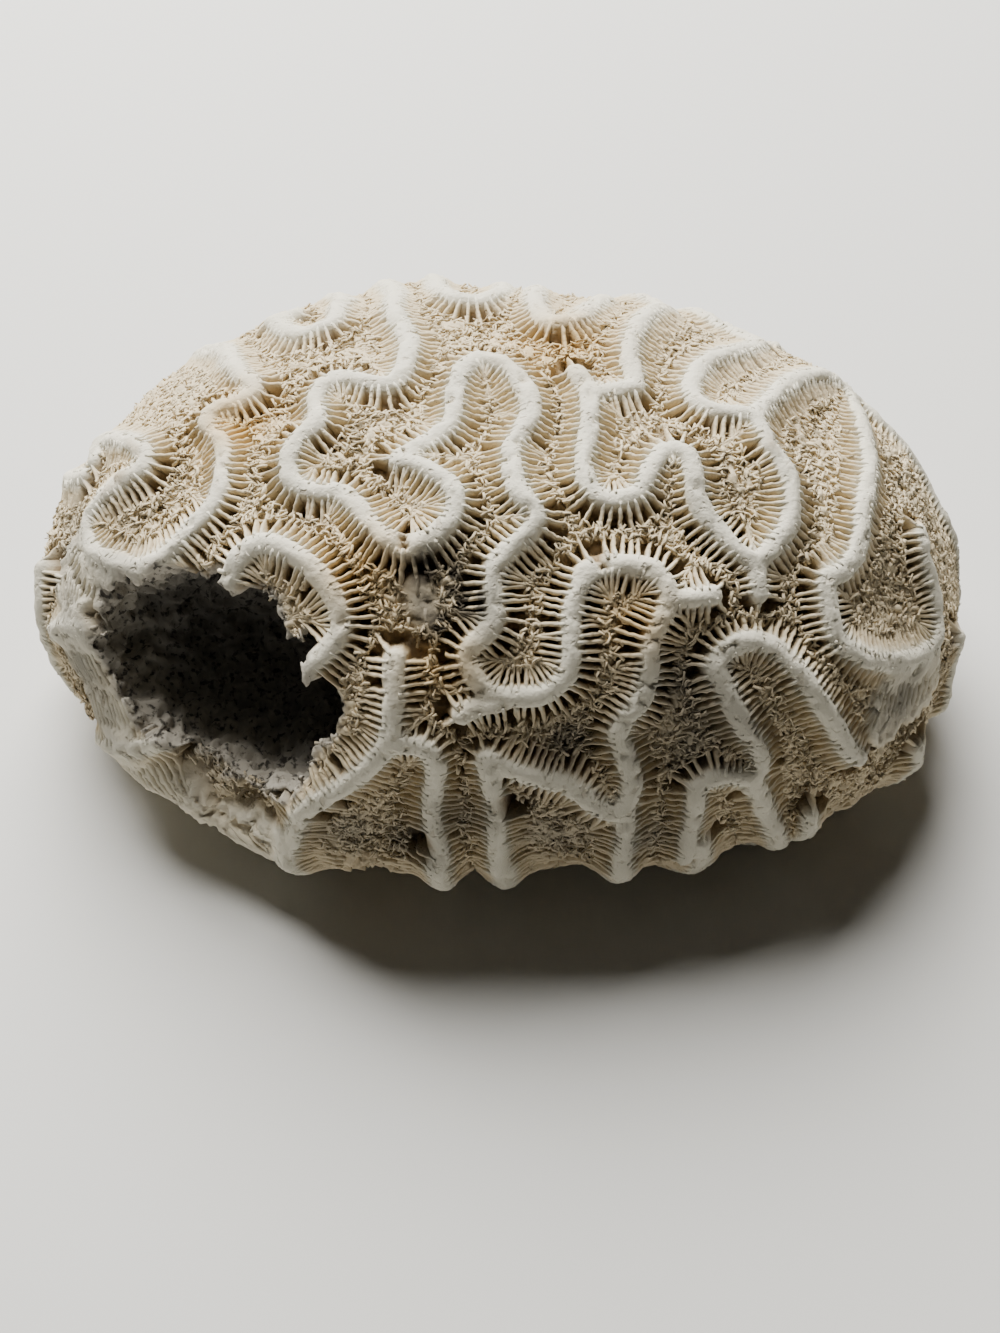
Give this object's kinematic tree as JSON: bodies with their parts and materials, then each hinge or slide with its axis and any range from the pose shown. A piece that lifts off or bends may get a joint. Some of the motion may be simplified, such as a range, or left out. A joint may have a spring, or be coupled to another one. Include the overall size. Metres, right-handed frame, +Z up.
{
  "type": "brain coral",
  "caption": "Dry brain coral skeleton: a low oval dome of winding walls and toothed valleys with a bored hollow in one side, cut flat underneath so that it rests level.",
  "frame": {"origin": "on the flat cut underneath, below the middle of the coral's box", "axes": "+X along the coral's length, +Y from the front with the hollow towards the back, +Z up"},
  "size_m": [0.08, 0.056, 0.0365],
  "materials": {
    "coral_skeleton": "dry chalky skeleton, matt and porous, white on the walls and tan in the valleys"
  },
  "bodies": {
    "root": {"coral": "coral_skeleton"}
  },
  "joints": []
}
